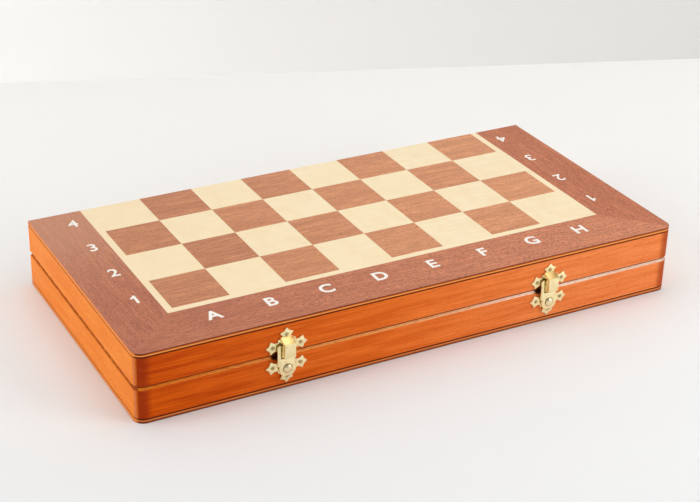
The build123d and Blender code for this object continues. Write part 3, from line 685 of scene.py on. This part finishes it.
for half, away in (("lower", -1), ("upper", 1)):
    nails = [placed_copy(nail, "nail", (x + aside, FRONT, CLASP_Z + away * up), OUT_OF_FRONT)
             for x in CLASP_X
             for aside, up in ((-NAIL_ASIDE, NAIL_UP), (NAIL_ASIDE, NAIL_UP), (0, END_NAIL_UP))]
    nails = joined(nails, half + "_clasp_nails_headed", nail_brass, half + "_clasp_nails")
bpy.data.objects.remove(rivet)
bpy.data.objects.remove(nail)


# The hinges: drawn brass butt hinges let into the rims at the fold, a little dull, with pins
# through their knuckles and slotted countersunk screws in their leaves.
SCREW_OUTLINE = [(0.2, -7.9), (0.72, -7.0), (0.74, -0.80), (1.45, -0.04), (1.42, 0.0)]
SLOT_WIDTH, SLOT_DEPTH = 0.00045, 0.0005
HINGE_SPREAD, SCREW_SPREAD, SCREW_INSET = 0.240, 0.019, 0.004
SCREW_Y = -FRONT - SCREW_INSET


def cut_away(piece, place, size, turn=(0, 0, 0)):
    """Take a straight-sided bit of this size out of a piece."""
    bpy.ops.object.select_all(action="DESELECT")
    bpy.ops.mesh.primitive_cube_add(size=1, location=place, rotation=turn, scale=size)
    saw = bpy.context.object
    bpy.ops.object.select_all(action="DESELECT")
    piece.select_set(True)
    bpy.context.view_layer.objects.active = piece
    cut = piece.modifiers.new("cut", "BOOLEAN")
    cut.object = saw
    cut.operation = "DIFFERENCE"
    bpy.ops.object.modifier_apply(modifier="cut")
    bpy.data.objects.remove(saw)
    bpy.ops.object.shade_smooth_by_angle(angle=SMOOTH_BELOW)


drawn_brass = pale_brass("hinge_brass", 0.34, (0.760, 0.580, 0.280, 1),
                         (0.560, 0.400, 0.170, 1))[0]
for node in ("lower_hinge_leaves", "upper_hinge_leaves", "hinge_pins"):
    eased_copy(node, node + "_drawn", drawn_brass, EASED_EDGE)
screw = turned("screw", SCREW_OUTLINE, steps=32)
cut_away(screw, (0, 0, 0), (0.004, SLOT_WIDTH, 2 * SLOT_DEPTH))
for half, face, turn in (("lower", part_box("lower_front_rail")[1].z, 0.0),
                         ("upper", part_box("upper_front_rail")[0].z, math.pi)):
    screws = [placed_copy(screw, "screw", (x + aside, SCREW_Y, face), turn)
              for x in (-HINGE_SPREAD / 2, HINGE_SPREAD / 2)
              for aside in (-SCREW_SPREAD / 2, SCREW_SPREAD / 2)]
    screws = joined(screws, half + "_hinge_screws_slotted", drawn_brass, half + "_hinge_screws")
bpy.data.objects.remove(screw)


# The felt lining: a sheet of green wool felt glued under the upper board, with a soft fuzzy
# face that is not quite flat.
felt_low, felt_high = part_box("upper_felt_lining")
FELT_LENGTH, FELT_WIDTH = felt_high.x - felt_low.x, felt_high.y - felt_low.y
FELT_THICKNESS = felt_high.z - felt_low.z
# Pressed flat it fills this share of the room that the CAD model keeps for it, with its middle
# this share below the board.
FELT_FILLS, FELT_MIDDLE = 0.8, 0.45
FELT_CUTS, FELT_UNEVENNESS = 40, 0.00012


def felted(name, base, lift):
    """Fuzzy fibres: a dark ground under paler tangled hairs, with a sheen across the nap."""
    material, place = finish(name, 0.95, Sheen_Weight=0.35, Sheen_Roughness=0.5,
                             Specular_IOR_Level=0.15)
    tangle = place.node("ShaderNodeTexNoise", {},
                        {"Vector": place, "Scale": 1400.0, "Detail": 4.0, "Distortion": 1.5})
    patches = place.node("ShaderNodeTexNoise", {}, {"Vector": place, "Scale": 45.0, "Detail": 2.0})
    colour = tangle.between(0.30, 0.72).mix(base, lift)
    colour = (patches.between(0.35, 0.70) * 0.3).mix(colour, lift)
    colour.to("Base Color")
    relief(tangle, 0.00025)
    return material


bpy.ops.object.select_all(action="DESELECT")
bpy.ops.mesh.primitive_plane_add(size=1)
felt = bpy.context.object
felt.name = "upper_felt"
felt.scale = (FELT_LENGTH, FELT_WIDTH, 1)
felt.location = ((felt_low.x + felt_high.x) / 2, (felt_low.y + felt_high.y) / 2,
                 felt_high.z - FELT_MIDDLE * FELT_THICKNESS)
bpy.ops.object.transform_apply(location=True, rotation=True, scale=True)
bpy.ops.object.mode_set(mode="EDIT")
bpy.ops.mesh.select_all(action="SELECT")
bpy.ops.mesh.subdivide(number_cuts=FELT_CUTS)
bpy.ops.transform.vertex_random(offset=FELT_UNEVENNESS, uniform=0.0, normal=1.0, seed=4)
bpy.ops.mesh.vertices_smooth(factor=0.5, repeat=2)
bpy.ops.object.mode_set(mode="OBJECT")
thickness = felt.modifiers.new("thickness", "SOLIDIFY")
thickness.thickness = FELT_FILLS * FELT_THICKNESS
thickness.offset = 0
bpy.ops.object.modifier_apply(modifier="thickness")
bpy.ops.object.shade_smooth_by_angle(angle=math.radians(50))
felt.data.materials.append(felted("green_felt", (0.004, 0.022, 0.010, 1),
                                  (0.016, 0.062, 0.030, 1)))
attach(felt, "upper_case")
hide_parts("upper_felt_lining")


# The tray: three blocks of soft foam, flocked dark green, with a pocket cut for each man. Their
# upper edges are pressed round.
FOAM_ROUNDING = 0.0006
flocking = felted("flocked_foam", (0.005, 0.018, 0.009, 1), (0.014, 0.048, 0.024, 1))
foam = eased_copy("storage_tray", "foam_blocks", flocking, FOAM_ROUNDING, has_pockets=True)


# The men: turned from pale hornbeam, or from the same wood stained dark brown, lacquered, with
# felt under their bases. Knights have carved heads. They lie in the tray, heads to the front.
MEN_OUTLINES = {
    "pawn": [(10.6, 0), (11.3, 0.3), (11.5, 1.0), (11.5, 3.6), (11.1, 4.3), (10.3, 4.7),
             (10.2, 5.1), (9.3, 6.2), (7.8, 7.8), (6.8, 9.0), (6.4, 9.9), (5.9, 11.0),
             (5.0, 14.0), (4.3, 18.0), (3.95, 21.5), (3.9, 22.9), (4.4, 23.4), (6.5, 24.6),
             (6.9, 25.4), (6.7, 26.0), (4.8, 26.9), (4.5, 27.3), (5.3, 28.3), (6.3, 29.7),
             (6.85, 31.4), (6.95, 32.9), (6.75, 34.5), (6.1, 36.4), (5.0, 38.0), (3.5, 39.2),
             (1.8, 39.85)],
    "rook": [(12.0, 0), (12.8, 0.3), (13.0, 1.0), (13.0, 4.6), (12.5, 5.4), (11.6, 5.8),
             (11.4, 6.3), (10.2, 7.8), (8.9, 9.4), (8.1, 10.9), (7.7, 12.0), (6.9, 15.0),
             (6.3, 20.0), (6.0, 25.0), (5.9, 28.2), (6.4, 29.0), (8.7, 31.4), (9.1, 32.8),
             (9.1, 44.4), (8.9, 45.0), (6.7, 45.0), (6.5, 44.7), (6.5, 40.2), (6.3, 40.0)],
    "knight": [(12.0, 0), (12.8, 0.3), (13.0, 1.0), (13.0, 4.5), (12.5, 5.2), (11.7, 5.6),
               (11.5, 6.0), (10.4, 7.4), (9.5, 8.9), (9.2, 10.0), (9.4, 10.6), (10.2, 11.9),
               (10.4, 12.8), (10.0, 13.6), (8.6, 14.2), (8.1, 14.5)],
    "bishop": [(12.0, 0), (12.8, 0.3), (13.0, 1.0), (13.0, 4.6), (12.5, 5.4), (11.6, 5.8),
               (11.4, 6.2), (10.0, 7.7), (8.3, 9.7), (7.4, 11.3), (7.0, 12.6), (6.0, 17.0),
               (4.9, 24.0), (4.1, 31.0), (3.9, 34.4), (4.5, 35.2), (7.5, 37.0), (7.8, 37.9),
               (7.5, 38.6), (4.9, 39.7), (4.4, 40.4), (5.0, 41.8), (6.3, 44.0), (7.1, 46.2),
               (7.3, 47.8), (7.0, 50.0), (6.0, 52.8), (4.4, 55.4), (2.7, 57.1), (1.7, 57.7),
               (2.1, 58.3), (2.15, 59.0), (1.7, 59.7), (0.9, 59.98)],
    "queen": [(13.0, 0), (13.8, 0.3), (14.0, 1.0), (14.0, 4.7), (13.5, 5.5), (12.5, 5.9),
              (12.3, 6.4), (10.6, 8.1), (9.0, 10.2), (8.1, 12.2), (7.6, 13.8), (6.7, 18.0),
              (5.6, 25.0), (4.7, 34.0), (4.2, 41.0), (4.2, 42.8), (4.9, 43.6), (8.3, 45.4),
              (8.7, 46.3), (8.3, 47.1), (5.8, 48.2), (5.3, 49.1), (5.5, 51.0), (6.6, 56.0),
              (8.2, 61.0), (8.95, 63.4), (8.6, 63.9), (7.6, 63.6), (6.6, 63.4), (5.5, 64.6),
              (3.4, 66.0), (1.6, 66.7), (1.5, 67.0), (1.95, 67.6), (1.9, 68.3), (1.3, 68.85),
              (0.6, 68.98)],
    "king": [(13.5, 0), (14.3, 0.3), (14.5, 1.0), (14.5, 4.8), (14.0, 5.6), (13.0, 6.0),
             (12.8, 6.5), (11.1, 8.2), (9.4, 10.3), (8.4, 12.4), (7.9, 14.0), (7.0, 18.0),
             (5.9, 26.0), (5.0, 36.0), (4.6, 42.0), (4.6, 43.4), (5.3, 44.2), (8.9, 46.0),
             (9.28, 47.0), (8.9, 47.8), (6.3, 48.9), (5.8, 49.8), (6.1, 52.0), (7.1, 57.0),
             (8.3, 61.6), (8.95, 63.8), (8.5, 64.6), (6.2, 65.6), (3.6, 66.6), (2.5, 67.3),
             (2.2, 67.6)],
}
# The men's bases stand against these lines along Y, one line for each row of pockets.
ROW_ENDS = (0.0880, 0.00558, -0.04648)
POCKET_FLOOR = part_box("white_king")[0].z
ROWS = (["white king", "white queen", "white bishop", "white bishop", "white knight",
         "white knight", "black knight", "black knight", "black bishop", "black bishop",
         "black queen", "black king"],
        ["white rook", "white rook"] + 4 * ["white pawn"] + 4 * ["black pawn"]
        + ["black rook", "black rook"],
        4 * ["white pawn"] + 4 * [None] + 4 * ["black pawn"])
FELT_GAP = 0.0003
PITCH = (felt_high.x - felt_low.x + 2 * FELT_GAP) / len(ROWS[0])


def turned_wood(name, pale, deep):
    """Fine even grain up the man, with darker clouds, under satin lacquer."""
    material, place = finish(name, 0.34, Coat_Weight=0.5, Coat_Roughness=0.15)
    grain = fibres(place, ALONG_Y, 0.030, 0.0009, seed=3.3)
    clouds = fibres(place, ALONG_Y, 0.060, 0.0070, seed=1.9)
    wood = grain.between(0.32, 0.70).mix(pale, deep)
    wood = (clouds.between(0.40, 0.68) * 0.4).mix(wood, deep)
    wood.to("Base Color")
    relief(grain, 0.00002)
    return material


def faces_where(piece, chosen):
    """In edit mode, select just the faces whose middle and direction are chosen."""
    bpy.ops.mesh.select_mode(type="FACE")
    bpy.ops.mesh.select_all(action="DESELECT")
    bpy.ops.object.mode_set(mode="OBJECT")
    for face in piece.data.polygons:
        face.select = chosen(face.center, face.normal)
    bpy.ops.object.mode_set(mode="EDIT")


pale_wood = turned_wood("hornbeam", (0.820, 0.620, 0.350, 1), (0.700, 0.490, 0.240, 1))
dark_wood = turned_wood("stained_hornbeam", (0.070, 0.024, 0.011, 1), (0.036, 0.012, 0.006, 1))
base_felt = felted("base_felt", (0.005, 0.020, 0.010, 1), (0.018, 0.060, 0.030, 1))
standing = {}
for kind, outline in MEN_OUTLINES.items():
    standing[kind] = turned(kind, outline, steps=40)

# The rook's battlements are sawn twice across, and the bishop's mitre once, on a slant.
for turn in (0, math.pi / 2):
    cut_away(standing["rook"], (0, 0, 0.045), (0.030, 0.003, 0.0064), (0, 0, turn))
cut_away(standing["bishop"], (0.0062, 0, 0.0500), (0.0125, 0.030, 0.0011),
         (0, math.radians(-35), 0))

# The queen's coronet is notched all round, and the king's cross stands on his crown.
for notch in range(4):
    cut_away(standing["queen"], (0, 0, 0.0650), (0.030, 0.0020, 0.0050),
             (0, 0, notch * math.pi / 4))
CROSS_MIDDLE, CROSS_SIZE, CROSS_ARM = 0.0715, (0.0026, 0.0026, 0.009), 0.0022
bpy.ops.object.select_all(action="DESELECT")
bpy.ops.mesh.primitive_cube_add(size=1, location=(0, 0, CROSS_MIDDLE), scale=CROSS_SIZE)
cross = bpy.context.object
bpy.ops.object.transform_apply(location=True, rotation=True, scale=True)
bpy.ops.object.mode_set(mode="EDIT")
bpy.ops.mesh.select_all(action="SELECT")
bpy.ops.mesh.subdivide(number_cuts=2)
for side in (-1, 1):
    faces_where(cross, lambda middle, normal: normal.x * side > 0.9 and abs(middle.y) < 0.001
                and abs(middle.z - CROSS_MIDDLE) < 0.002)
    bpy.ops.mesh.extrude_region_move(TRANSFORM_OT_translate={"value": (side * CROSS_ARM, 0, 0)})
bpy.ops.object.mode_set(mode="OBJECT")
easing = cross.modifiers.new("easing", "BEVEL")
easing.width, easing.segments, easing.limit_method = 0.0004, 2, "ANGLE"
bpy.ops.object.modifier_apply(modifier="easing")
bpy.ops.object.shade_smooth_by_angle(angle=SMOOTH_BELOW)
standing["king"].select_set(True)
bpy.context.view_layer.objects.active = standing["king"]
bpy.ops.object.join()

# A knight's head is sawn from a flat board, its edges rounded by hand. The mouth, four notches
# in the mane and two bead eyes follow, and the head then goes on its base.
HEAD_PROFILE = [(-0.55, 0.27), (0.50, 0.27), (0.40, 0.37), (0.33, 0.46), (0.36, 0.54),
                (0.47, 0.585), (0.66, 0.560), (0.84, 0.545), (0.93, 0.575), (0.96, 0.63),
                (0.90, 0.69), (0.66, 0.775), (0.45, 0.85), (0.30, 0.915), (0.16, 0.990),
                (0.08, 0.990), (-0.02, 0.935), (-0.22, 0.895), (-0.45, 0.830), (-0.68, 0.730),
                (-0.80, 0.60), (-0.82, 0.47), (-0.72, 0.36)]
HEAD_REACH, HEAD_HEIGHT, HEAD_THICKNESS, HEAD_ROUNDING = 0.013, 0.052, 0.009, 0.0016
EYE_X, EYE_Z, EYE_RADIUS = 0.0050, 0.0392, 0.0009
head = line_through("head", [(x * HEAD_REACH, 0, z * HEAD_HEIGHT) for x, z in HEAD_PROFILE])
bpy.ops.object.mode_set(mode="EDIT")
bpy.ops.mesh.select_all(action="SELECT")
bpy.ops.mesh.edge_face_add()
bpy.ops.transform.translate(value=(0, HEAD_THICKNESS / 2, 0))
bpy.ops.mesh.extrude_region_move(TRANSFORM_OT_translate={"value": (0, -HEAD_THICKNESS, 0)})
bpy.ops.mesh.select_all(action="SELECT")
bpy.ops.mesh.normals_make_consistent(inside=False)
bpy.ops.object.mode_set(mode="OBJECT")
rounding = head.modifiers.new("rounding", "BEVEL")
rounding.width, rounding.segments, rounding.limit_method = HEAD_ROUNDING, 4, "ANGLE"
rounding.angle_limit = math.radians(60)
bpy.ops.object.modifier_apply(modifier="rounding")
bpy.ops.object.shade_smooth_by_angle(angle=SMOOTH_BELOW)
cut_away(head, (0.0120, 0, 0.0315), (0.0080, 0.020, 0.0008), (0, math.radians(8), 0))
for x, z, lean in ((-0.0108, 0.0270, 5), (-0.0107, 0.0325, -10), (-0.0088, 0.0382, -30),
                   (-0.0056, 0.0432, -50)):
    cut_away(head, (x, 0, z), (0.0050, 0.020, 0.0009), (0, math.radians(lean), 0))
for side in (-1, 1):
    bpy.ops.object.select_all(action="DESELECT")
    bpy.ops.mesh.primitive_uv_sphere_add(segments=12, ring_count=8, radius=EYE_RADIUS,
                                         location=(EYE_X, side * HEAD_THICKNESS / 2, EYE_Z))
    bpy.ops.object.shade_smooth()
    head.select_set(True)
    bpy.context.view_layer.objects.active = head
    bpy.ops.object.join()
bpy.ops.object.select_all(action="DESELECT")
head.select_set(True)
standing["knight"].select_set(True)
bpy.context.view_layer.objects.active = standing["knight"]
bpy.ops.object.join()

# A lying man rests on the rim of his base and on his widest place above it, which tilts him.
count = {}
for row, base_line in zip(ROWS, ROW_ENDS):
    for column, man in enumerate(row):
        if man is None:
            continue
        colour, kind = man.split()
        number = count[man] = count.get(man, 0) + 1
        radius = max(point[0] for point in MEN_OUTLINES[kind]) / 1000
        reach = [(radius - r / 1000) / (h / 1000) for r, h in MEN_OUTLINES[kind]
                 if h > 1 and r / 1000 < radius - 0.0001]
        if kind == "knight":
            reach.append((radius - HEAD_THICKNESS / 2) / HEAD_HEIGHT)
        tilt = math.atan(min(reach))
        middle_x = (column + 0.5 - len(row) / 2) * PITCH * len(ROWS[0]) / len(row)
        lying = placed_copy(standing[kind], f"{colour}_{kind}_{number}",
                            (middle_x, base_line - radius * math.sin(tilt),
                             POCKET_FLOOR + radius * math.cos(tilt)), math.pi / 2 + tilt)
        lying.data.materials.clear()
        lying.data.materials.append(pale_wood if colour == "white" else dark_wood)
        lying.data.materials.append(base_felt)
        facing_base = Vector((0, math.cos(tilt), math.sin(tilt)))
        for face in lying.data.polygons:
            face.material_index = int(face.normal.dot(facing_base) > 0.99
                                      and face.center.y > base_line - 0.005)
        node = f"{colour}_{kind}" + ("" if kind in ("king", "queen") else "s")
        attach(lying, "lower_case")
        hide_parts(node)
        "light_men" if colour == "white" else "dark_men"
for man in standing.values():
    bpy.data.objects.remove(man)
